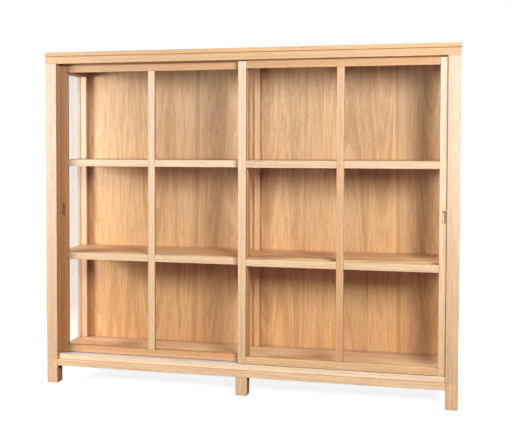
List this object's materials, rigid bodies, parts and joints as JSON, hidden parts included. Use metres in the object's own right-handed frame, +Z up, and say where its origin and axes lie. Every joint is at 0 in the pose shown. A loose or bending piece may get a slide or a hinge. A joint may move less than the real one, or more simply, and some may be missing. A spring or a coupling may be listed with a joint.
{
  "type": "bookcase with sliding doors",
  "caption": "Low wide oak bookcase with open feet, glazed ends and two framed glass doors that slide past each other on separate tracks, over open shelves.",
  "frame": {"origin": "on the floor under the middle of the bookcase, at the centre of its bounding box in plan", "axes": "+X to the right seen from the front, +Y towards the back, +Z up; the doors face -Y"},
  "size_m": [2.004, 0.417, 1.65],
  "materials": {
    "oak_frame": "straight-grained oak, light matt lacquer",
    "oak_warm": "straight-grained oak in a warmer tone, light matt lacquer",
    "oak_pale": "straight-grained pale oak, light matt lacquer",
    "oak_veneer": "crown and quarter cut oak veneer, light matt lacquer",
    "clear_glass": "clear float glass, polished",
    "track_aluminium": "satin anodised",
    "roller_nylon": "moulded, satin"
  },
  "bodies": {
    "case": {"back_bottom_rail": "oak_warm", "back_panel_left": "oak_veneer", "back_panel_right": "oak_veneer", "back_top_rail": "oak_warm", "bottom_board": "oak_veneer", "cornice_rail": "oak_pale", "end_base_rail_left": "oak_frame", "end_base_rail_right": "oak_frame", "end_bottom_rail_left": "oak_frame", "end_bottom_rail_right": "oak_frame", "end_glass_left": "clear_glass", "end_glass_right": "clear_glass", "end_top_rail_left": "oak_frame", "end_top_rail_right": "oak_frame", "front_base_rail": "oak_frame", "front_foot_centre": "oak_frame", "front_foot_left": "oak_frame", "front_foot_right": "oak_frame", "front_mullion": "oak_frame", "front_post_left": "oak_frame", "front_post_right": "oak_frame", "front_track": "track_aluminium", "lower_shelf_left": "oak_veneer", "lower_shelf_right": "oak_veneer", "rear_base_rail": "oak_frame", "rear_foot_centre": "oak_frame", "rear_foot_left": "oak_frame", "rear_foot_right": "oak_frame", "rear_mullion": "oak_warm", "rear_post_left": "oak_warm", "rear_post_right": "oak_warm", "rear_track": "track_aluminium", "sill": "oak_pale", "top_board": "oak_frame", "upper_shelf_left": "oak_veneer", "upper_shelf_right": "oak_veneer"},
    "left_door": {"left_door_bottom_rail": "oak_warm", "left_door_centre_bar": "oak_frame", "left_door_glass": "clear_glass", "left_door_lower_bar_left": "oak_warm", "left_door_lower_bar_right": "oak_warm", "left_door_meeting_stile": "oak_pale", "left_door_pull_stile": "oak_warm", "left_door_top_rail": "oak_warm", "left_door_upper_bar_left": "oak_warm", "left_door_upper_bar_right": "oak_warm"},
    "right_door": {"right_door_bottom_rail": "oak_warm", "right_door_centre_bar": "oak_frame", "right_door_glass": "clear_glass", "right_door_lower_bar_left": "oak_warm", "right_door_lower_bar_right": "oak_warm", "right_door_meeting_stile": "oak_pale", "right_door_pull_stile": "oak_warm", "right_door_top_rail": "oak_warm", "right_door_upper_bar_left": "oak_warm", "right_door_upper_bar_right": "oak_warm"},
    "left_door_roller_left": {"left_door_roller_left": "roller_nylon"},
    "left_door_roller_right": {"left_door_roller_right": "roller_nylon"},
    "right_door_roller_left": {"right_door_roller_left": "roller_nylon"},
    "right_door_roller_right": {"right_door_roller_right": "roller_nylon"}
  },
  "joints": [
    {"name": "left_door_slide", "type": "slide", "parent": "case", "child": "left_door", "axis": [1, 0, 0], "range_m": [0, 0.93]},
    {"name": "right_door_slide", "type": "slide", "parent": "case", "child": "right_door", "axis": [-1, 0, 0], "range_m": [0, 0.93]},
    {"name": "left_roller_left_spin", "type": "hinge", "parent": "left_door", "child": "left_door_roller_left", "pos_m": [-0.851, -0.1415, 0.1551], "axis": [0, 1, 0], "range_deg": [0, 4445]},
    {"name": "left_roller_right_spin", "type": "hinge", "parent": "left_door", "child": "left_door_roller_right", "pos_m": [-0.079, -0.1415, 0.1551], "axis": [0, 1, 0], "range_deg": [0, 4445]},
    {"name": "right_roller_left_spin", "type": "hinge", "parent": "right_door", "child": "right_door_roller_left", "pos_m": [0.079, -0.1795, 0.1551], "axis": [0, -1, 0], "range_deg": [0, 4445]},
    {"name": "right_roller_right_spin", "type": "hinge", "parent": "right_door", "child": "right_door_roller_right", "pos_m": [0.851, -0.1795, 0.1551], "axis": [0, -1, 0], "range_deg": [0, 4445]}
  ],
  "couplings": [
    {"joint": "left_roller_left_spin", "follows": "left_door_slide", "rad_per_m": 83.333},
    {"joint": "left_roller_right_spin", "follows": "left_door_slide", "rad_per_m": 83.333},
    {"joint": "right_roller_left_spin", "follows": "right_door_slide", "rad_per_m": 83.333},
    {"joint": "right_roller_right_spin", "follows": "right_door_slide", "rad_per_m": 83.333}
  ]
}
